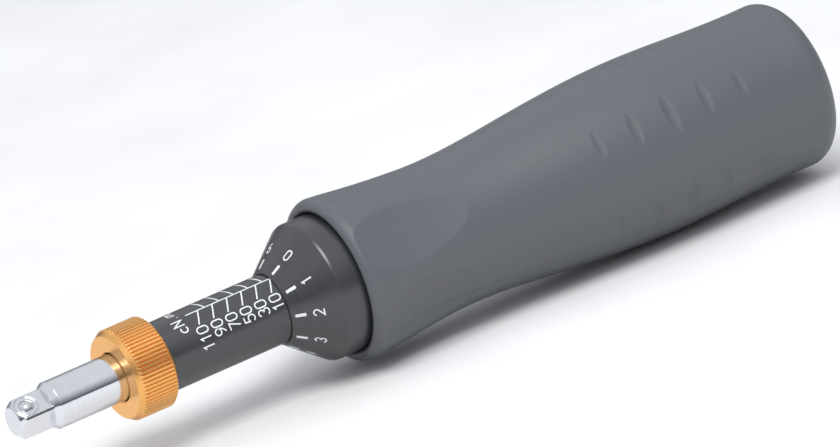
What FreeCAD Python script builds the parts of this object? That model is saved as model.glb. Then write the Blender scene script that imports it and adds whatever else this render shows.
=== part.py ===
import FreeCAD, Part
import math
import os

os.makedirs("parts", exist_ok=True)

V = FreeCAD.Vector

# Torque screwdriver with a 1/4 inch male square, a micrometer scale and a cam clutch.
# Millimetres. The tool lies along X: the drive's end face is at x = 0 and the butt at the far end.
# Angles go round the axis from the top (+Z) towards -Y. At rest the scale is at its lowest setting.

# ---- Driving dimensions: square drive and spindle ----
square_across = 6.35          # across flats
square_length = 7.6
square_corner_leg = 0.44      # bevel along the four long corners
square_end_r = 3.05           # end face, which is turned to a 45 degree bevel
square_root_overlap = 0.5     # length of the square inside its shoulder
stem_end_bevel = 0.5
square_turn = 35.0            # angle of the face that holds the ball
collar_face_r = 4.1           # shoulder behind the square
collar_length = 1.4
shank_r = 5.1
shank_end_x = 26.2
stem_r = 2.5
stem_end_x = 153.0

# ---- Detent ball in the square ----
ball_r = 1.9
ball_stand = 0.7              # how far the ball stands out of its face
ball_x = 2.9
ball_hole_end = 2.1           # depth of the hole past the axis
stake_ring_r = 2.45
stake_ring_wire = 0.22
ball_spring_wire = 0.3
ball_spring_turns = 3.5
ball_spring_gap = 0.25        # radial, from the ball's radius to the outside of its spring

# ---- Lock ring and collet ----
ring_face_x = 24.6
ring_length = 9.3
ring_r = 9.8
ring_face_r = 8.9
ring_front_bevel = 1.4
ring_rear_bevel = 0.6
ring_hole_r = 5.25
ring_sink_r = 5.5
ring_lip = 2.3                # thickness of the ring's front wall
knurl_teeth = 72
knurl_depth = 0.38
knurl_land = 0.52             # part of each tooth's pitch that is land
collet_length = 5.6
collet_r = 6.1
collet_tail_r = 5.45
collet_tail_length = 1.5
collet_slit = 1.0
collet_key_width = 1.4
collet_key_r = 6.7
collet_key_start = 1.2        # from the collet's front face
collet_key_length = 2.4
barrel_nose_start = 0.8       # from the collet's front face
barrel_nose_bevel = 0.3
barrel_land_length = 0.8

# ---- Scale barrel, its nut and washer ----
barrel_r = 7.45
barrel_step_gap = 0.2         # from the lock ring to the barrel's visible start
barrel_rear_x = 68.5
barrel_bore_r = 6.15
barrel_nose_thread_r = 6.97   # thread drawn as a plain cylinder at its pitch radius
barrel_land_r = 5.35
nut_flange = 1.5
nut_length = 8.0
nut_seat_r = 6.6
nut_flange_r = 7.4
washer_thickness = 1.0
washer_inset = 0.2            # how much smaller the washer is than the spring seat
washer_bore_r = 5.6

# ---- Guide tube ----
guide_front_x = 26.5
guide_nose_r = 5.0
guide_nose_bevel = 0.4
guide_thread_x = 57.0
guide_thread_r = 5.43         # thread drawn as a plain cylinder at its pitch radius
guide_rear_x = 91.5           # where the spring's guide starts
guide_spring_r = 6.2
guide_bore_r = 3.0
flange_x = 127.5
flange_thickness = 5.0
bush_length = 10.0
bush_wall = 1.07

# ---- Thimble ----
thimble_x = 62.5
thimble_edge_r = 7.8
thimble_bore_end_x = 66.5
thimble_bore_bevel = 1.0
cone_end_x = 71.6
band_r = 14.8
band_end_x = 80.0
band_edge_break = 0.25

# ---- Core tube ----
core_x = 71.0
core_end_x = 182.0
core_r = 12.5
core_rear_bore_r = 11.0
core_key_depth = 0.9
core_key_width = 3.1
core_key_end_x = 96.5
rib_count = 6
rib_height = 0.7
rib_width = 3.0
rib_x = 96.0
rib_end_x = 170.0
flange_screw_r = 1.25
flange_screw_depth = 1.3
flange_screw_sink = 0.3       # how far a screw's head lies below the tube's surface

# ---- Spring, its seat and the cam follower ----
seat_thickness = 3.5
seat_r = 9.5
seat_gap = 0.3                # radial, spring seat in the core tube
spring_wire = 2.6
spring_mean_r = 7.9
spring_turns = 9.5
coil_steps = 16               # straight lengths in one turn of a spring
wire_sides = 8                # flats round a spring's wire
follower_x = 122.5
follower_ring = 4.0
follower_r = 9.2
leg_count = 3
leg_span = 20.0               # degrees
cam_teeth = 6
cam_lead = 24.0               # rise per full turn
cam_ramp_span = 54.0          # degrees of each tooth's pitch that rise
cam_overlap = 1.0             # degrees from a leg's high end to the top of its ramp
cam_root = 1.0                # how far the teeth reach into the disc
helix_step = 6.0              # degrees between the sections of a helical face
helix_spare = 0.5             # extra thickness of a helical block before it is trimmed
cam_valley_x = 136.8
cam_disc_end_x = 141.5
cam_disc_r = 9.4
cam_inner_r = 5.0
cam_pin_r = 1.0
cam_pin_sink = 0.4            # from the pin's ends to the disc's rim

# ---- Thrust bearing, sleeve and end plug ----
thrust_balls = 6
thrust_ball_r = 1.5
thrust_pitch_r = 6.2
thrust_groove_depth = 0.3
cage_thickness = 1.2
cage_r = 8.9
cage_bore_r = 3.4
thrust_washer_thickness = 2.5
thrust_washer_gap = 0.3       # radial, round the stem
sleeve_wall = 1.1
plug_thickness = 11.6
tail_bush_r = 4.5
tail_bush_length = 8.0
plug_spanner_r = 1.25
plug_spanner_offset = 7.0
plug_spanner_depth = 4.0

# ---- Grip ----
grip_x = 76.6
grip_end_x = 190.5
rim_r = 17.5
rim_length = 3.0              # from the rim's foremost point to its widest
rim_nose_r = 16.1             # radius at the rim's foremost point
neck_x = 87.5
neck_r = 16.75
waist_x = 101.0
waist_r = 15.5
belly_x = 153.0
belly_r = 18.5
tail_x = 178.0
tail_r = 17.5
butt_round = 4.6
facets = 6
scoop_radius = 70.0
scoop_depth_r = 14.88          # distance from the axis to the bottom of a scoop
scoop_x = 96.0
grooves_in_row = 5
groove_pitch = 8.65
groove_tool_r = 2.05
groove_length = 8.6           # the middle groove of a row
groove_step = 1.15            # how much shorter each next groove is

# ---- Clearances ----
running_gap = 0.03            # radial, shafts and threads that turn
sliding_gap = 0.05            # radial, pieces that slide
barrel_gap = 0.1              # radial, barrel in the thimble
fit_gap = 0.02                # pieces that are pressed or screwed together
thimble_gap = 0.15            # radial, open line between thimble and grip
key_gap = 0.1
side_gap = 1.5                # degrees, legs in the flange's slots
ball_gap = 0.05
bonded_gap = 0.02
rib_gap = 0.05


core_bore_r = seat_r + seat_gap


# ---- Shape helpers ----
def spun(shape, angle):
    return shape.rotated(V(0, 0, 0), V(1, 0, 0), angle)


def turned(points):
    """Solid of revolution about X from a closed outline of (x, radius) points."""
    corners = [V(x, r, 0) for x, r in points]
    outline = Part.makePolygon(corners + corners[:1])
    return Part.Face(outline).revolve(V(0, 0, 0), V(1, 0, 0), 360)


def ring(x0, x1, inner_r, outer_r):
    return turned([(x0, inner_r), (x0, outer_r), (x1, outer_r), (x1, inner_r)])


def rod(x0, x1, radius):
    return Part.makeCylinder(radius, x1 - x0, V(x0, 0, 0), V(1, 0, 0))


def bar(x0, x1, width, low_z, high_z):
    """Straight bar above the axis, for keys, keyways and ribs."""
    return Part.makeBox(x1 - x0, width, high_z - low_z, V(x0, -width / 2, low_z))


def sector(x0, x1, inner_r, outer_r, start, end):
    """Part of a ring between two angles."""
    corners = [V(x0, 0, inner_r), V(x0, 0, outer_r), V(x1, 0, outer_r), V(x1, 0, inner_r)]
    face = spun(Part.Face(Part.makePolygon(corners + corners[:1])), start)
    return face.revolve(V(0, 0, 0), V(1, 0, 0), end - start)


def helical_block(x_back, x_start, lead, inner_r, outer_r, start, end):
    """Ring sector from the plane x_back to a helical face, which is at x_start where the sector
    starts and goes on by lead for each full turn."""
    steps = max(2, round((end - start) / helix_step))
    low, high = inner_r - helix_spare, outer_r + helix_spare
    x_end = x_start + lead * (end - start) / 360
    sections = []
    for i in range(steps + 1):
        x_face = x_start + (x_end - x_start) * i / steps
        corners = [V(x_back, 0, low), V(x_back, 0, high), V(x_face, 0, high), V(x_face, 0, low)]
        turn = start + (end - start) * i / steps
        sections.append(spun(Part.makePolygon(corners + corners[:1]), turn))
    block = Part.makeLoft(sections, True, False)
    x_low = min(x_back, x_start, x_end) - helix_spare
    x_high = max(x_back, x_start, x_end) + helix_spare
    return block.common(ring(x_low, x_high, inner_r, outer_r))


def coil(x0, x1, mean_r, wire_r, turns):
    """Compression spring along X with flat-ground ends at x0 and x1, made of short straight lengths."""
    count = round(turns * coil_steps)
    sections = []
    for i in range(count + 1):
        x = x0 + (x1 - x0) * i / count
        corners = []
        for side in range(wire_sides + 1):
            angle = 2 * math.pi * (side + 0.5) / wire_sides
            corners.append(V(x + wire_r * math.sin(angle), 0, mean_r + wire_r * math.cos(angle)))
        sections.append(spun(Part.makePolygon(corners), 360.0 * turns * i / count))
    return Part.makeLoft(sections, True, True).common(rod(x0, x1, mean_r + 2 * wire_r))


def copies(shape, count, first=0.0):
    return [spun(shape, first + 360.0 * i / count) for i in range(count)]


def save(name, shapes):
    """Writes one piece, or a group of like pieces, as one STEP file."""
    solids = [solid for shape in shapes for solid in shape.removeSplitter().Solids]
    shape = solids[0] if len(solids) == 1 else Part.makeCompound(solids)
    if not shape.isValid():
        raise ValueError(name + " is not a valid solid")
    shape.exportStep("parts/" + name + ".step")


# ---- Spindle ----
square_half = square_across / 2
ball_z = square_half + ball_stand - ball_r


def make_square():
    """Square bar with bevelled long corners and a turned bevel round its end."""
    near = square_half - square_corner_leg
    corners = [(near, square_half), (square_half, near), (square_half, -near), (near, -square_half)]
    corners += [(-y, -z) for y, z in corners]
    points = [V(0, y, z) for y, z in corners]
    length = square_length + square_root_overlap
    square = Part.Face(Part.makePolygon(points + points[:1])).extrude(V(length, 0, 0))
    return square.common(turned([(0, 0), (0, square_end_r), (length, square_end_r + length), (length, 0)]))


def make_spindle():
    body = turned([
        (square_length, 0),
        (square_length, collar_face_r),
        (square_length + collar_length, shank_r),
        (shank_end_x, shank_r),
        (shank_end_x, stem_r),
        (stem_end_x - stem_end_bevel, stem_r),
        (stem_end_x, stem_r - stem_end_bevel),
        (stem_end_x, 0),
    ])
    hole_r = ball_r + ball_gap
    hole = Part.makeCylinder(hole_r, ball_z + ball_hole_end, V(ball_x, 0, -ball_hole_end), V(0, 0, 1))
    hole = hole.fuse(Part.makeSphere(hole_r, V(ball_x, 0, ball_z)))
    stake = Part.makeTorus(stake_ring_r, stake_ring_wire, V(ball_x, 0, square_half), V(0, 0, 1))
    square = make_square().cut(Part.makeCompound([hole, stake]))
    return spun(square, square_turn).fuse(body).cut(pin_hole())


def pin_hole():
    x = (cam_valley_x + cam_disc_end_x) / 2
    return Part.makeCylinder(cam_pin_r, 2 * cam_disc_r + 2, V(x, 0, -cam_disc_r - 1), V(0, 0, 1))


def make_drive_ball():
    return spun(Part.makeSphere(ball_r, V(ball_x, 0, ball_z)), square_turn)


def make_ball_spring():
    length = ball_hole_end + ball_z - ball_r
    mean_r = ball_r - ball_spring_gap - ball_spring_wire / 2
    spring = coil(0, length, mean_r, ball_spring_wire / 2, ball_spring_turns)
    spring.rotate(V(0, 0, 0), V(0, 1, 0), -90)
    spring.translate(V(ball_x, 0, -ball_hole_end))
    return spun(spring, square_turn)


# ---- Lock ring and collet ----
ring_end_x = ring_face_x + ring_length
barrel_step_x = ring_end_x + barrel_step_gap
collet_x = ring_face_x + ring_lip + running_gap
collet_end_x = collet_x + collet_length
nose_x = collet_x + barrel_nose_start


def make_lock_ring():
    blank = turned([
        (ring_face_x, ring_sink_r),
        (ring_face_x, ring_face_r),
        (ring_face_x + ring_front_bevel, ring_r),
        (ring_end_x - ring_rear_bevel, ring_r),
        (ring_end_x, ring_r - ring_rear_bevel),
        (ring_end_x, barrel_nose_thread_r + running_gap),
        (ring_face_x + ring_lip, barrel_nose_thread_r + running_gap),
        (ring_face_x + ring_lip, ring_hole_r),
        (ring_face_x + (ring_sink_r - ring_hole_r), ring_hole_r),
    ])
    pitch = 360.0 / knurl_teeth
    tooth = [(-knurl_land / 2, ring_r), (knurl_land / 2, ring_r), (0.5, ring_r - knurl_depth)]
    points = []
    for i in range(knurl_teeth):
        for share, radius in tooth:
            angle = math.radians(pitch * (i + share))
            points.append(V(ring_face_x - 1, radius * math.sin(angle), radius * math.cos(angle)))
    serrated = Part.Face(Part.makePolygon(points + points[:1])).extrude(V(ring_length + 2, 0, 0))
    return blank.common(serrated)


def make_clamp_collet():
    body = turned([
        (collet_x, guide_nose_r + running_gap),
        (collet_x, collet_r),
        (collet_end_x - collet_tail_length, collet_r),
        (collet_end_x, collet_tail_r),
        (collet_end_x, guide_nose_r + running_gap),
    ])
    key_x = collet_x + collet_key_start
    key = bar(key_x, key_x + collet_key_length, collet_key_width, collet_r - 0.5, collet_key_r)
    slit = bar(collet_x - 1, collet_end_x + 1, collet_slit, 0, collet_r + 1)
    return body.fuse(key).cut(spun(slit, 180))


# ---- Barrel ----
nut_x = barrel_rear_x + nut_flange - nut_length
nut_end_x = barrel_rear_x + nut_flange


def make_barrel():
    cone_x = collet_end_x - collet_tail_length + sliding_gap
    land_x = collet_end_x + sliding_gap
    body = turned([
        (nose_x, collet_r + sliding_gap),
        (nose_x, barrel_nose_thread_r - barrel_nose_bevel),
        (nose_x + barrel_nose_bevel, barrel_nose_thread_r),
        (barrel_step_x, barrel_nose_thread_r),
        (barrel_step_x, barrel_r),
        (barrel_rear_x, barrel_r),
        (barrel_rear_x, nut_seat_r),
        (nut_x, nut_seat_r),
        (nut_x, barrel_bore_r),
        (land_x + 2 * barrel_land_length, barrel_bore_r),
        (land_x + barrel_land_length, barrel_land_r),
        (land_x, collet_tail_r + sliding_gap),
        (cone_x, collet_r + sliding_gap),
    ])
    width = collet_key_width + 2 * key_gap
    keyway_end = collet_x + collet_key_start + collet_key_length + key_gap
    keyway = bar(nose_x - 1, keyway_end, width, collet_r - 1, barrel_nose_thread_r + 1)
    return body.cut(keyway)


def make_barrel_nut():
    return turned([
        (nut_x, guide_thread_r + running_gap),
        (nut_x, nut_seat_r),
        (barrel_rear_x, nut_seat_r),
        (barrel_rear_x, nut_flange_r),
        (nut_end_x, nut_flange_r),
        (nut_end_x, guide_thread_r + running_gap),
    ])


washer_x = nut_end_x
seat_x = washer_x + washer_thickness + fit_gap


def make_barrel_washer():
    return ring(washer_x, washer_x + washer_thickness, washer_bore_r, seat_r - washer_inset)


# ---- Guide tube, its bush and the spindle's bearings ----
flange_end_x = flange_x + flange_thickness
nose_bush_r = stem_r + running_gap + bush_wall


def leg_start():
    """Angle where the first leg begins, at the low end of a cam ramp."""
    return cam_ramp_span - leg_span - cam_overlap


def make_guide_tube():
    body = turned([
        (guide_front_x, nose_bush_r),
        (guide_front_x, guide_nose_r - guide_nose_bevel),
        (guide_front_x + guide_nose_bevel, guide_nose_r),
        (guide_thread_x, guide_nose_r),
        (guide_thread_x, guide_thread_r),
        (guide_rear_x, guide_thread_r),
        (guide_rear_x, guide_spring_r),
        (flange_x, guide_spring_r),
        (flange_x, core_rear_bore_r - fit_gap),
        (flange_end_x, core_rear_bore_r - fit_gap),
        (flange_end_x, guide_bore_r),
        (guide_front_x + bush_length, guide_bore_r),
        (guide_front_x + bush_length, nose_bush_r),
    ])
    slot = sector(flange_x - 1, flange_end_x + 1, guide_spring_r, follower_r + sliding_gap * 2,
                  leg_start() - side_gap, leg_start() + leg_span + side_gap)
    slots = Part.makeCompound(copies(slot, leg_count))
    return body.cut(slots).cut(Part.makeCompound(flange_screws()))


def make_nose_bush():
    return ring(guide_front_x, guide_front_x + bush_length, stem_r + running_gap, nose_bush_r)


def flange_screws():
    x = flange_x + flange_thickness / 2
    base = core_rear_bore_r - fit_gap - flange_screw_depth
    screw = Part.makeCylinder(flange_screw_r, core_r - flange_screw_sink - base, V(x, 0, base), V(0, 0, 1))
    middle = leg_start() + leg_span / 2
    return copies(screw, leg_count, middle + 180.0 / leg_count)


# ---- Spring seat, spring, follower and cam ----
def make_spring_seat():
    body = ring(seat_x, seat_x + seat_thickness, guide_spring_r + sliding_gap, seat_r)
    tang_top = core_bore_r + core_key_depth - key_gap
    tang = bar(seat_x, seat_x + seat_thickness, core_key_width - 2 * key_gap, seat_r - 1, tang_top)
    return body.fuse(tang)


def make_main_spring():
    start_x = seat_x + seat_thickness + fit_gap
    return coil(start_x, follower_x - fit_gap, spring_mean_r, spring_wire / 2, spring_turns)


def make_cam_follower():
    inner_r = guide_spring_r + sliding_gap
    body = ring(follower_x, follower_x + follower_ring, inner_r, follower_r)
    rise_left = cam_lead * (leg_span + cam_overlap) / 360
    leg = helical_block(follower_x + follower_ring / 2, cam_valley_x - running_gap - rise_left, cam_lead,
                        inner_r + sliding_gap, follower_r, leg_start(), leg_start() + leg_span)
    for one_leg in copies(leg, leg_count):
        body = body.fuse(one_leg)
    return body


def make_cam_disc():
    body = ring(cam_valley_x, cam_disc_end_x, stem_r, cam_disc_r)
    rise = cam_lead * cam_ramp_span / 360
    tooth = helical_block(cam_valley_x + cam_root, cam_valley_x - rise, cam_lead,
                          cam_inner_r, cam_disc_r, 0, cam_ramp_span)
    for one_tooth in copies(tooth, cam_teeth):
        body = body.fuse(one_tooth)
    return body.cut(pin_hole()).cut(ball_groove())


def make_cam_pin():
    x = (cam_valley_x + cam_disc_end_x) / 2
    reach = cam_disc_r - cam_pin_sink
    return Part.makeCylinder(cam_pin_r, 2 * reach, V(x, 0, -reach), V(0, 0, 1))


# ---- Thrust bearing ----
ball_plane_x = cam_disc_end_x + thrust_ball_r - thrust_groove_depth
thrust_washer_x = ball_plane_x + thrust_ball_r - thrust_groove_depth
plug_x = thrust_washer_x + thrust_washer_thickness


def ball_groove():
    return Part.makeTorus(thrust_pitch_r, thrust_ball_r + ball_gap, V(ball_plane_x, 0, 0), V(1, 0, 0))


def make_thrust_cage():
    body = ring(ball_plane_x - cage_thickness / 2, ball_plane_x + cage_thickness / 2, cage_bore_r, cage_r)
    pocket = Part.makeCylinder(thrust_ball_r + running_gap, 2 * cage_thickness,
                               V(ball_plane_x - cage_thickness, 0, thrust_pitch_r), V(1, 0, 0))
    return body.cut(Part.makeCompound(copies(pocket, thrust_balls)))


def make_thrust_balls():
    return copies(Part.makeSphere(thrust_ball_r, V(ball_plane_x, 0, thrust_pitch_r)), thrust_balls)


def make_thrust_washer():
    outer_r = core_rear_bore_r - sleeve_wall - fit_gap
    return ring(thrust_washer_x, plug_x, stem_r + thrust_washer_gap, outer_r).cut(ball_groove())


def make_spacer_sleeve():
    outer_r = core_rear_bore_r - fit_gap
    return ring(flange_end_x, plug_x, core_rear_bore_r - sleeve_wall, outer_r)


def make_tail_bush():
    return ring(plug_x, plug_x + tail_bush_length, stem_r + running_gap, tail_bush_r)


def make_end_plug():
    end_x = plug_x + plug_thickness
    body = turned([
        (plug_x, tail_bush_r),
        (plug_x, core_rear_bore_r - fit_gap),
        (end_x, core_rear_bore_r - fit_gap),
        (end_x, 0),
        (plug_x + tail_bush_length, 0),
        (plug_x + tail_bush_length, tail_bush_r),
    ])
    hole = Part.makeCylinder(plug_spanner_r, plug_spanner_depth,
                             V(end_x - plug_spanner_depth, 0, plug_spanner_offset), V(1, 0, 0))
    return body.cut(Part.makeCompound(copies(hole, 2)))


# ---- Thimble ----
def make_thimble():
    slope = (band_r - thimble_edge_r) / (cone_end_x - thimble_x)
    return turned([
        (thimble_x, barrel_r + barrel_gap),
        (thimble_x, thimble_edge_r),
        (cone_end_x - band_edge_break, band_r - slope * band_edge_break),
        (cone_end_x + band_edge_break, band_r),
        (band_end_x, band_r),
        (band_end_x, core_r),
        (core_x, core_r),
        (core_x, core_bore_r),
        (thimble_bore_end_x + thimble_bore_bevel, core_bore_r),
        (thimble_bore_end_x, barrel_r + barrel_gap),
    ])


# ---- Core tube ----
def ribs(extra):
    """Driving ribs between tube and grip, grown by extra on each face."""
    top = core_r + rib_height + extra
    rib = bar(rib_x - extra, rib_end_x + extra, rib_width + 2 * extra, core_r - 1, top)
    return copies(rib, rib_count, 180.0 / facets)


def make_core_tube():
    body = turned([
        (core_x, core_bore_r),
        (core_x, core_r),
        (core_end_x, core_r),
        (core_end_x, core_rear_bore_r),
        (flange_x, core_rear_bore_r),
        (flange_x, core_bore_r),
    ])
    keyway = bar(core_x - 1, core_key_end_x, core_key_width, core_bore_r - 1, core_bore_r + core_key_depth)
    for rib in ribs(0):
        body = body.fuse(rib)
    bore = rod(core_x, flange_x, core_bore_r)
    return body.cut(Part.makeCompound([keyway, bore] + flange_screws()))


# ---- Grip ----
arc_sag = 1 - math.sqrt(0.5)    # share of a quarter round's radius, from its corner to its middle


def grip_outline():
    """Outer line of the grip from the rim to the butt's rounding."""
    line = Part.BSplineCurve()
    line.interpolate([
        V(grip_x + rim_length, rim_r, 0),
        V(neck_x, neck_r, 0),
        V(waist_x, waist_r, 0),
        V((waist_x + belly_x) / 2, (waist_r + belly_r) / 2, 0),
        V(belly_x, belly_r, 0),
        V(tail_x, tail_r, 0),
        V(grip_end_x - butt_round, tail_r, 0),
    ])
    return line


def radius_at(line, x):
    return line.value(line.parameter(V(x, belly_r, 0))).y


def make_grip():
    line = grip_outline()
    start = line.value(line.FirstParameter)
    end = line.value(line.LastParameter)
    bore_r = core_r + bonded_gap
    mouth_r = band_r + thimble_gap
    inner_end = V(band_end_x, mouth_r, 0)
    nose = V(grip_x, rim_nose_r, 0)
    lip_r = rim_nose_r - mouth_r
    lip = V(grip_x + lip_r, mouth_r, 0)
    lip_mid = V(grip_x + arc_sag * lip_r, rim_nose_r - (1 - arc_sag) * lip_r, 0)
    nose_mid = V(grip_x + arc_sag * rim_length, rim_nose_r + (1 - arc_sag) * (rim_r - rim_nose_r), 0)
    butt = V(grip_end_x, tail_r - butt_round, 0)
    butt_mid = V(grip_end_x - arc_sag * butt_round, tail_r - arc_sag * butt_round, 0)
    edges = [
        Part.Arc(lip, lip_mid, nose).toShape(),
        Part.Arc(nose, nose_mid, start).toShape(),
        line.toShape(),
        Part.Arc(end, butt_mid, butt).toShape(),
        Part.makeLine(butt, V(grip_end_x, 0, 0)),
        Part.makeLine(V(grip_end_x, 0, 0), V(core_end_x, 0, 0)),
        Part.makeLine(V(core_end_x, 0, 0), V(core_end_x, bore_r, 0)),
        Part.makeLine(V(core_end_x, bore_r, 0), V(band_end_x, bore_r, 0)),
        Part.makeLine(V(band_end_x, bore_r, 0), inner_end),
        Part.makeLine(inner_end, lip),
    ]
    body = Part.Face(Part.Wire(edges)).revolve(V(0, 0, 0), V(1, 0, 0), 360)

    across = 2 * rim_r
    scoop_centre = V(scoop_x, -rim_r, scoop_depth_r + scoop_radius)
    scoop = Part.makeCylinder(scoop_radius, across, scoop_centre, V(0, 1, 0))
    cuts = copies(scoop, facets)
    for i in range(grooves_in_row):
        place = i - (grooves_in_row - 1) / 2
        x = belly_x + groove_pitch * place
        surface_r = radius_at(line, x)
        half_length = (groove_length - groove_step * abs(place)) / 2
        bottom_r = math.sqrt(surface_r ** 2 - half_length ** 2)
        tool = Part.makeCylinder(groove_tool_r, across, V(x, -rim_r, bottom_r + groove_tool_r), V(0, 1, 0))
        cuts += copies(tool, facets)
    cuts += ribs(rib_gap)
    return body.cut(Part.makeCompound(cuts))


pieces = {
    "spindle": [make_spindle()],
    "drive_ball": [make_drive_ball()],
    "ball_spring": [make_ball_spring()],
    "lock_ring": [make_lock_ring()],
    "clamp_collet": [make_clamp_collet()],
    "barrel": [make_barrel()],
    "barrel_nut": [make_barrel_nut()],
    "barrel_washer": [make_barrel_washer()],
    "guide_tube": [make_guide_tube()],
    "nose_bush": [make_nose_bush()],
    "flange_screws": flange_screws(),
    "spring_seat": [make_spring_seat()],
    "main_spring": [make_main_spring()],
    "cam_follower": [make_cam_follower()],
    "cam_disc": [make_cam_disc()],
    "cam_pin": [make_cam_pin()],
    "thrust_cage": [make_thrust_cage()],
    "thrust_balls": make_thrust_balls(),
    "thrust_washer": [make_thrust_washer()],
    "spacer_sleeve": [make_spacer_sleeve()],
    "tail_bush": [make_tail_bush()],
    "end_plug": [make_end_plug()],
    "thimble": [make_thimble()],
    "core_tube": [make_core_tube()],
    "grip": [make_grip()],
}
for piece_name, piece_shapes in pieces.items():
    save(piece_name, piece_shapes)
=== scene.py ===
import math

import bpy
from mathutils import Matrix, Vector
from mathutils.bvhtree import BVHTree


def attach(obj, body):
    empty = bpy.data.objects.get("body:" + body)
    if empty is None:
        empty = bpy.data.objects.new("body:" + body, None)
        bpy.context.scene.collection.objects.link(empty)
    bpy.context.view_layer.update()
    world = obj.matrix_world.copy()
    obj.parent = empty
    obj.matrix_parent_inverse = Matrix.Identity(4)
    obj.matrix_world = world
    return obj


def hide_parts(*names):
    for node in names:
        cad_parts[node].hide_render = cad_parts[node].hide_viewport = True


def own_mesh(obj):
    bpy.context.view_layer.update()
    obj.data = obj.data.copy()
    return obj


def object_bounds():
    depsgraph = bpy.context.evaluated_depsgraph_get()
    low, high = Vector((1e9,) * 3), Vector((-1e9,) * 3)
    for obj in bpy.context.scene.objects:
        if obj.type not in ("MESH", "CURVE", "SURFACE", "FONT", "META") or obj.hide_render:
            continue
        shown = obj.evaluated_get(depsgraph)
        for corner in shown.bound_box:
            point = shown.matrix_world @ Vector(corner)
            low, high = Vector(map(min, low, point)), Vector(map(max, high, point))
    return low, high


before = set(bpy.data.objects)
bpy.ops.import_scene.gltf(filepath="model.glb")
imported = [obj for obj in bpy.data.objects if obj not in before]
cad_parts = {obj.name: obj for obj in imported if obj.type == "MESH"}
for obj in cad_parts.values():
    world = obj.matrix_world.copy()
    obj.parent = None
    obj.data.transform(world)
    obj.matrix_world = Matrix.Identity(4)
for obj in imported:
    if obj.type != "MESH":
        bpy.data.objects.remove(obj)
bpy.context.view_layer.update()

MM = 0.001

# ---- View ----
IMAGE_WIDTH = 840
TOOL_INCLINE = math.radians(25.0)     # the tip leans this far towards the camera
TOOL_SLOPE = math.radians(23.73)      # the tool's rise across the picture
VIEW_TURN = math.radians(71.6)        # the camera's side of the tool, from the top towards -Y
AIM_ALONG = 100.4 * MM                # the picture's centre, along the tool
AIM_BESIDE = -3.68 * MM               # and square to it, downwards in the picture
CAMERA_AWAY = 12.0
PIXELS_PER_METRE = 4955.0
SENSOR = 36.0

# ---- Printed scale ----
# Angles are about the tool's axis, from the top towards -Y. Letters stand towards the tip.
INK_LIFT = 0.02                       # the ink's height over the surface, mm
INK_DEPTH = 0.05                      # how far a stroke reaches into it, mm
LINE_WIDTH = 0.28
POINT_STEP = 0.3                      # the longest piece of a stroke between two points
MITRE_LEAST = 0.45                    # keeps the mitre of a sharp corner short
SAME_POINT = 1e-6
RAY_START = 40.0                      # outside the whole tool, mm from its axis
DATUM_ANGLE = 21.5
DATUM_END = 42.2
SCALE_START = 62.6                    # the tick for 10
SCALE_STEP = 0.175                    # mm of travel for each unit of torque
SCALE_VALUES = range(10, 120, 10)
NUMBER_EVERY = 20
LONG_TICK = (-3.5, 1.8)               # along the reading direction, towards the tip
SHORT_TICK = (3.8, 1.0)
NUMBER_RAISE = 1.8
NUMBER_ANGLE = 58.0                   # the last digit of a number
DIGIT_TURN = 14.0
DIGIT_HEIGHT = 2.5
UNIT_AT = 39.4
UNIT_LETTERS = (("c", 46.0), ("N", 32.0), (".", 17.6), ("m", 2.0))
MARK_WIDTH = 0.7
MARK_ENDS = (63.2, 65.0)
MARK_ANGLE = 23.0
MARKS = 10
THIMBLE_DIGIT_AT = 67.1
THIMBLE_DIGIT_HEIGHT = 2.2
THIMBLE_LINE_WIDTH = 0.3
CONE_PROBES = (64.0, 69.0)            # two places on the thimble's cone, for its slope

# ---- Grip ----
SEAM_ANGLE = math.radians(131.0)      # the grip's moulding seam, and opposite
SEAM_WIDTH = 0.22
# How dark the seam line is painted: painted shade standing in for the shallow groove along the
# moulding seam
SEAM_GROOVE_SHADE = 0.55

# ---- Finishes ----
TONE_SPREAD = 0.12                    # how far the noise moves a colour, as a share of it
NOISE_DETAIL = 3.0
EDGE_SAMPLES = 8
MIX_FACTOR, MIX_A, MIX_B, MIX_RESULT = 0, 6, 7, 2     # a mix node's colour sockets

# ---- Light and floor ----
KEY_PLACE = (-0.05, -0.35, 0.7)
KEY_AIM = (0.1, 0, 0)
KEY_SIZE = 0.4
KEY_POWER = 3.6
FLOOR_SIZE = 6.0
FLOOR_DROP = 0.5                      # mm under the tool
BACKDROP = (0.9, 0.91, 0.93, 1)
HORIZON = (0.02, (0.07, 0.075, 0.09, 1))     # a direction's rise, and the colour there
OVERHEAD = (0.6, (0.85, 0.87, 0.9, 1))

# Strokes in a cell one unit high. Two numbers are a point, and six an arc: its centre,
# its two radii, and its first and last angle in degrees.
CELL_WIDTH = 0.56
ARC_STEP = 15.0
GLYPHS = {
    "0": [[(.28, .28, .28, .28, 180, 360), (.28, .72, .28, .28, 0, 180)]],
    "1": [[(.08, .78), (.30, 1), (.30, 0)]],
    "2": [[(.28, .72, .28, .28, 170, -38), (0, 0), (.56, 0)]],
    "3": [[(.28, .75, .25, .25, 160, -90), (.28, .25, .28, .25, 90, -160)]],
    "4": [[(.42, 0), (.42, 1), (0, .3), (.56, .3)]],
    "5": [[(.52, 1), (.08, 1), (.04, .54), (.27, .31, .29, .31, 125, -150)]],
    "6": [[(.28, .28, .28, .28, 0, 360)], [(.56, .28, .56, .72, 180, 104)]],
    "7": [[(0, 1), (.56, 1), (.18, 0)]],
    "8": [[(.28, .27, .28, .27, 0, 360)], [(.28, .77, .23, .23, 0, 360)]],
    "9": [[(.28, .72, .28, .28, 0, 360)], [(0, .72, .56, .72, 0, -76)]],
    "c": [[(.28, .30, .28, .30, 50, 310)]],
    "N": [[(0, 0), (0, 1), (.56, 0), (.56, 1)]],
    ".": [[(.28, 0), (.28, .08)]],
    "m": [[(-.06, 0), (-.06, .6)], [(.11, .43, .17, .17, 180, 0), (.28, 0)],
          [(.45, .43, .17, .17, 180, 0), (.62, 0)]],
}


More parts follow.
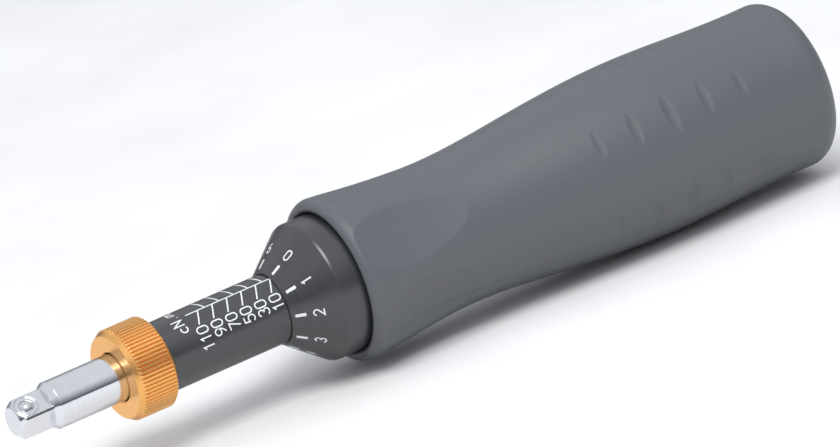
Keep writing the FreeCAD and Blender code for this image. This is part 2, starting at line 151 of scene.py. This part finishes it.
# ---- Materials ----
def ring_place(nodes, links, place):
    """Coordinates along the axis and away from it, so that a pattern on them makes rings."""
    split = nodes.new("ShaderNodeSeparateXYZ")
    across = nodes.new("ShaderNodeVectorMath")
    across.operation = "MULTIPLY"
    across.inputs[1].default_value = (0, 1, 1)
    radius = nodes.new("ShaderNodeVectorMath")
    radius.operation = "LENGTH"
    join = nodes.new("ShaderNodeCombineXYZ")
    links.new(place, split.inputs[0])
    links.new(place, across.inputs[0])
    links.new(across.outputs["Vector"], radius.inputs[0])
    links.new(split.outputs["X"], join.inputs["X"])
    links.new(radius.outputs["Value"], join.inputs["Y"])
    return join.outputs["Vector"]


def new_material(name, colour, metallic=0.0, roughness=0.5, specular=0.5, spread=0.08,
                 grain=4000.0, depth=0.00001, turned=False, soften=0.0):
    """A finish with a fine procedural grain. A turned one varies along the axis and with
    the radius, as lathe marks do. soften rounds the edges in the shading."""
    mat = bpy.data.materials.new(name)
    mat.use_nodes = True
    nodes, links = mat.node_tree.nodes, mat.node_tree.links
    shader = nodes["Principled BSDF"]
    shader.inputs["Metallic"].default_value = metallic
    shader.inputs["Specular IOR Level"].default_value = specular
    place = nodes.new("ShaderNodeTexCoord").outputs["Object"]
    if turned:
        place = ring_place(nodes, links, place)
    noise = nodes.new("ShaderNodeTexNoise")
    noise.inputs["Scale"].default_value = grain
    noise.inputs["Detail"].default_value = NOISE_DETAIL
    links.new(place, noise.inputs["Vector"])
    rough = nodes.new("ShaderNodeMapRange")
    rough.inputs["To Min"].default_value = max(0.02, roughness - spread)
    rough.inputs["To Max"].default_value = min(1.0, roughness + spread)
    links.new(noise.outputs["Fac"], rough.inputs["Value"])
    links.new(rough.outputs["Result"], shader.inputs["Roughness"])
    tone = nodes.new("ShaderNodeMix")
    tone.data_type = "RGBA"
    tone.inputs[MIX_A].default_value = (*((1 - TONE_SPREAD) * c for c in colour), 1)
    tone.inputs[MIX_B].default_value = (
        *(min(1, (1 + TONE_SPREAD) * c) for c in colour), 1)
    links.new(noise.outputs["Fac"], tone.inputs[MIX_FACTOR])
    links.new(tone.outputs[MIX_RESULT], shader.inputs["Base Color"])
    bump = nodes.new("ShaderNodeBump")
    bump.inputs["Distance"].default_value = depth
    links.new(noise.outputs["Fac"], bump.inputs["Height"])
    if soften:
        bevel = nodes.new("ShaderNodeBevel")
        bevel.samples = EDGE_SAMPLES
        bevel.inputs["Radius"].default_value = soften
        links.new(bevel.outputs[0], bump.inputs["Normal"])
    links.new(bump.outputs[0], shader.inputs["Normal"])
    return mat


def add_seam(mat):
    """The moulding seam as a fine darker line in the plane through the axis at SEAM_ANGLE:
    painted shade standing in for the seam's shallow groove.
    """
    nodes, links = mat.node_tree.nodes, mat.node_tree.links
    shader = nodes["Principled BSDF"]
    place = nodes.new("ShaderNodeTexCoord").outputs["Object"]
    off = nodes.new("ShaderNodeVectorMath")
    off.operation = "DOT_PRODUCT"
    off.inputs[1].default_value = (0, math.cos(SEAM_ANGLE), math.sin(SEAM_ANGLE))
    side = nodes.new("ShaderNodeMath")
    side.operation = "ABSOLUTE"
    line = nodes.new("ShaderNodeMapRange")
    line.inputs["From Min"].default_value = SEAM_WIDTH / 4 * MM
    line.inputs["From Max"].default_value = SEAM_WIDTH / 2 * MM
    line.inputs["To Min"].default_value = SEAM_GROOVE_SHADE
    line.inputs["To Max"].default_value = 1.0
    shade = nodes.new("ShaderNodeVectorMath")
    shade.operation = "SCALE"
    links.new(place, off.inputs[0])
    links.new(off.outputs["Value"], side.inputs[0])
    links.new(side.outputs[0], line.inputs["Value"])
    links.new(line.outputs["Result"], shade.inputs["Scale"])
    # Darkens the base colour along the seam: painted shade of its groove
    links.new(shader.inputs["Base Color"].links[0].from_socket, shade.inputs[0])
    links.new(shade.outputs["Vector"], shader.inputs["Base Color"])


def dress_nodes():
    """Gives each CAD node its finish. A node that isn't named here is of tool steel."""
    finishes = {
        "grip": new_material("grip_rubber", (0.11, 0.116, 0.13), roughness=0.42,
                             grain=5200, depth=0.00007, soften=0.0006),
        "thimble barrel": new_material("black_anodised", (0.026, 0.028, 0.032), 0.0, 0.3,
                                       specular=0.9, turned=True, soften=0.0002),
        "lock_ring": new_material("gold_anodised", (0.86, 0.45, 0.15), 1.0, 0.3,
                                  turned=True, soften=0.00012),
        "spindle": new_material("polished_chrome", (0.72, 0.73, 0.76), 1.0, 0.1,
                                spread=0.03, turned=True, depth=0.000002, soften=0.0002),
        "drive_ball thrust_balls": new_material("ball_steel", (0.66, 0.67, 0.7), 1.0, 0.08,
                                                spread=0.03, depth=0.000002),
        "core_tube guide_tube end_plug spacer_sleeve": new_material(
            "plain_aluminium", (0.72, 0.73, 0.74), 1.0, 0.32, turned=True),
        "nose_bush tail_bush": new_material("bronze", (0.62, 0.38, 0.16), 1.0, 0.34,
                                            turned=True),
        "thrust_cage": new_material("bearing_plastic", (0.7, 0.69, 0.62), 0.0, 0.42),
        "main_spring ball_spring": new_material("spring_steel", (0.42, 0.42, 0.44), 1.0,
                                                0.26),
        "flange_screws": new_material("black_steel", (0.05, 0.05, 0.055), 0.7, 0.4),
    }
    # The grip's seam line is painted shade of its shallow groove
    add_seam(finishes["grip"])
    steel = new_material("tool_steel", (0.5, 0.5, 0.52), 1.0, 0.28, turned=True)
    dressed = {node: mat for nodes, mat in finishes.items() for node in nodes.split()}
    for name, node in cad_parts.items():
        node.data.materials.clear()
        node.data.materials.append(dressed.get(name, steel))


# ---- Prints ----
def surface_of(node):
    """The CAD node's surface, for rays to meet."""
    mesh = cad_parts[node].data
    return BVHTree.FromPolygons([v.co for v in mesh.vertices],
                                [p.vertices for p in mesh.polygons])


def on_surface(tree, x, angle, lift):
    """The point over the surface at x and angle, lifted by so many mm."""
    out = Vector((0, -math.sin(angle), math.cos(angle)))
    far = RAY_START * MM
    hit = tree.ray_cast(Vector((x * MM, 0, 0)) + out * far, -out, far)[0]
    return hit + out * (lift * MM)


def stroke_points(stroke):
    """A glyph stroke as one line of points, its arcs cut into short steps."""
    points = []
    for item in stroke:
        if len(item) == 2:
            points.append(Vector(item))
            continue
        cx, cy, rx, ry, first, last = item
        count = max(2, round(abs(last - first) / ARC_STEP))
        for k in range(count + 1):
            a = math.radians(first + (last - first) * k / count)
            points.append(Vector((cx + rx * math.cos(a), cy + ry * math.sin(a))))
    return points


def subdivided(points, closed):
    """The same line with points close enough together to follow a round surface."""
    ends = points + points[:1] if closed else points
    line = []
    for a, b in zip(ends, ends[1:]):
        count = max(1, math.ceil((b - a).length / POINT_STEP))
        line += [a.lerp(b, k / count) for k in range(count)]
    return line if closed else line + [ends[-1]]


def corner_sides(line, closed, width):
    """Each point's two sides, mitred where the line turns."""
    sides = []
    last = len(line) - 1
    for i, p in enumerate(line):
        before = line[i - 1] if i or closed else None
        after = line[(i + 1) % len(line)] if i < last or closed else None
        d1 = (p - before).normalized() if before is not None else None
        d2 = (after - p).normalized() if after is not None else None
        d1, d2 = d1 or d2, d2 or d1
        along = (d1 + d2).normalized() if (d1 + d2).length > 0.1 else d2
        normal = Vector((-along.y, along.x))
        reach = width / 2 / max(MITRE_LEAST, abs(normal.dot(Vector((-d2.y, d2.x)))))
        sides.append((p + normal * reach, p - normal * reach))
    return sides


class Print:
    """Strokes of ink on one node, gathered into one mesh."""

    def __init__(self, node, slope=1.0):
        self.tree = surface_of(node)
        self.slope = slope
        self.vertices, self.faces = [], []

    def stroke(self, points, x, angle, width=LINE_WIDTH):
        """points are in mm along the reading direction and towards the tip, from x, angle."""
        closed = (points[0] - points[-1]).length < SAME_POINT
        line = subdivided(points[:-1] if closed else points, closed)
        start = len(self.vertices)
        base = on_surface(self.tree, x, math.radians(angle), 0)
        radius = math.hypot(base.y, base.z) / MM
        for left, right in corner_sides(line, closed, width):
            for p, lift in ((left, INK_LIFT), (right, INK_LIFT),
                            (right, -INK_DEPTH), (left, -INK_DEPTH)):
                turn = math.radians(angle) - p.x / radius
                self.vertices.append(on_surface(self.tree, x - p.y * self.slope, turn, lift))
        count = len(line)
        for i in range(count if closed else count - 1):
            a, b = start + 4 * i, start + 4 * ((i + 1) % count)
            for k in range(4):
                n = (k + 1) % 4
                self.faces.append((a + k, a + n, b + n, b + k))
        if not closed:
            end = start + 4 * (count - 1)
            self.faces.append((start + 3, start + 2, start + 1, start))
            self.faces.append((end, end + 1, end + 2, end + 3))

    def letter(self, letter, height, x, angle, raised=0.0, width=LINE_WIDTH):
        """One glyph centred on angle, and raised mm from x towards the tip."""
        for stroke in GLYPHS[letter]:
            points = [Vector(((p.x - CELL_WIDTH / 2) * height, raised + (p.y - 0.5) * height))
                      for p in stroke_points(stroke)]
            if letter == "0":  # its two half rings close on each other
                points.append(points[0].copy())
            self.stroke(points, x, angle, width)

    def finished(self, name, body, mat):
        """Makes the strokes into one piece that moves with body."""
        mesh = bpy.data.meshes.new(name)
        mesh.from_pydata(self.vertices, [], self.faces)
        mesh.validate()
        ink = bpy.data.objects.new(name, mesh)
        bpy.context.scene.collection.objects.link(ink)
        mesh.materials.append(mat)
        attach(ink, body)


def barrel_scale(mat):
    """The datum line, slanted ticks to both sides of it, numbers at every other one and
    the unit."""
    ink = Print("barrel")
    ink.stroke([Vector((0, 0)), Vector((0, SCALE_START - DATUM_END))], SCALE_START,
               DATUM_ANGLE)
    for value in SCALE_VALUES:
        past = value - SCALE_VALUES[0]
        x = SCALE_START - past * SCALE_STEP
        numbered = past % NUMBER_EVERY == 0
        tick = LONG_TICK if numbered else SHORT_TICK
        ink.stroke([Vector((0, 0)), Vector(tick)], x, DATUM_ANGLE)
        digits = str(value) if numbered else ""
        for k, digit in enumerate(reversed(digits)):
            ink.letter(digit, DIGIT_HEIGHT, x, NUMBER_ANGLE + k * DIGIT_TURN, NUMBER_RAISE)
    for letter, angle in UNIT_LETTERS:
        ink.letter(letter, DIGIT_HEIGHT, UNIT_AT, angle)
    ink.finished("barrel_print", "scale_barrel", mat)


def thimble_scale(mat):
    """Ten bold marks round the cone's front, with a number behind each."""
    low, high = CONE_PROBES
    tree = surface_of("thimble")
    rise = (on_surface(tree, high, 0, 0).z - on_surface(tree, low, 0, 0).z) / MM
    slope = (high - low) / math.hypot(high - low, rise)
    ink = Print("thimble", slope)
    first, last = MARK_ENDS
    for k in range(MARKS):
        angle = MARK_ANGLE + k * 360 / MARKS
        ink.stroke([Vector((0, 0)), Vector((0, (last - first) / slope))], last, angle,
                   MARK_WIDTH)
        ink.letter(str(k), THIMBLE_DIGIT_HEIGHT, THIMBLE_DIGIT_AT, angle,
                   width=THIMBLE_LINE_WIDTH)
    ink.finished("thimble_print", "handle", mat)


# ---- Springs ----
def pressed_spring(node, name, body):
    """The CAD spring as a piece of its own that moves with body, in place of the hidden CAD
    node."""
    coil = bpy.data.objects.new(name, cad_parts[node].data.copy())
    bpy.context.scene.collection.objects.link(coil)
    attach(coil, body)
    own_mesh(coil)
    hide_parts(node)


# ---- Stage ----
def make_camera():
    """Looks at the tool from its VIEW_TURN side, with the tip nearer and at lower left."""
    along = Vector((1, 0, 0))
    facing = Vector((0, -math.sin(VIEW_TURN), math.cos(VIEW_TURN)))
    to_camera = facing * math.cos(TOOL_INCLINE) - along * math.sin(TOOL_INCLINE)
    beside = along.cross(facing)
    forward = (along + to_camera * math.sin(TOOL_INCLINE)).normalized()
    up = forward * math.sin(TOOL_SLOPE) - beside * math.cos(TOOL_SLOPE)
    right = up.cross(to_camera)
    target = along * AIM_ALONG + beside * AIM_BESIDE
    place = target + to_camera * CAMERA_AWAY
    data = bpy.data.cameras.new("camera")
    data.sensor_width = SENSOR
    data.lens = PIXELS_PER_METRE * CAMERA_AWAY * SENSOR / IMAGE_WIDTH
    data.clip_end = 20 * CAMERA_AWAY
    camera = bpy.data.objects.new("camera", data)
    turn = Matrix((right, up, to_camera)).transposed().to_4x4()
    camera.matrix_world = Matrix.Translation(place) @ turn
    bpy.context.collection.objects.link(camera)
    bpy.context.scene.camera = camera


def make_key_light():
    data = bpy.data.lights.new("key", "AREA")
    data.shape = "RECTANGLE"
    data.size = data.size_y = KEY_SIZE
    data.energy = KEY_POWER
    lamp = bpy.data.objects.new("key", data)
    lamp.location = KEY_PLACE
    aim = Vector(KEY_AIM) - Vector(KEY_PLACE)
    lamp.rotation_euler = aim.to_track_quat("-Z", "Y").to_euler()
    bpy.context.collection.objects.link(lamp)


def make_floor():
    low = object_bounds()[0][2]
    bpy.ops.mesh.primitive_plane_add(size=FLOOR_SIZE, location=(0.1, 0, low - FLOOR_DROP * MM))
    floor = bpy.context.object
    floor.name = "floor"
    floor.data.materials.append(new_material("floor", (0.9, 0.9, 0.9), roughness=0.8,
                                             spread=0.02, specular=0.1, grain=20))


def make_world():
    """Bright overhead and darker towards the horizon, for the bands in the chrome.
    The camera sees an even pale grey."""
    world = bpy.data.worlds.new("studio")
    world.use_nodes = True
    nodes, links = world.node_tree.nodes, world.node_tree.links
    seen = nodes["Background"]
    seen.inputs["Color"].default_value = BACKDROP
    place = nodes.new("ShaderNodeTexCoord")
    split = nodes.new("ShaderNodeSeparateXYZ")
    ramp = nodes.new("ShaderNodeValToRGB")
    for element, (rise, colour) in zip(ramp.color_ramp.elements, (HORIZON, OVERHEAD)):
        element.position = rise
        element.color = colour
    lit = nodes.new("ShaderNodeBackground")
    path = nodes.new("ShaderNodeLightPath")
    mix = nodes.new("ShaderNodeMixShader")
    links.new(place.outputs["Generated"], split.inputs[0])
    links.new(split.outputs["Z"], ramp.inputs[0])
    links.new(ramp.outputs["Color"], lit.inputs["Color"])
    links.new(path.outputs["Is Camera Ray"], mix.inputs[0])
    links.new(lit.outputs[0], mix.inputs[1])
    links.new(seen.outputs[0], mix.inputs[2])
    links.new(mix.outputs[0], nodes["World Output"].inputs["Surface"])
    bpy.context.scene.world = world


dress_nodes()
ink_white = new_material("ink_white", (0.85, 0.86, 0.87), roughness=0.5, depth=0.000002)
barrel_scale(ink_white)
thimble_scale(ink_white)
pressed_spring("main_spring", "main_spring_coil", "spring_carriage")
pressed_spring("ball_spring", "ball_spring_coil", "drive_spindle")
make_camera()
make_floor()
make_world()
make_key_light()
bpy.context.scene.view_settings.view_transform = "Standard"
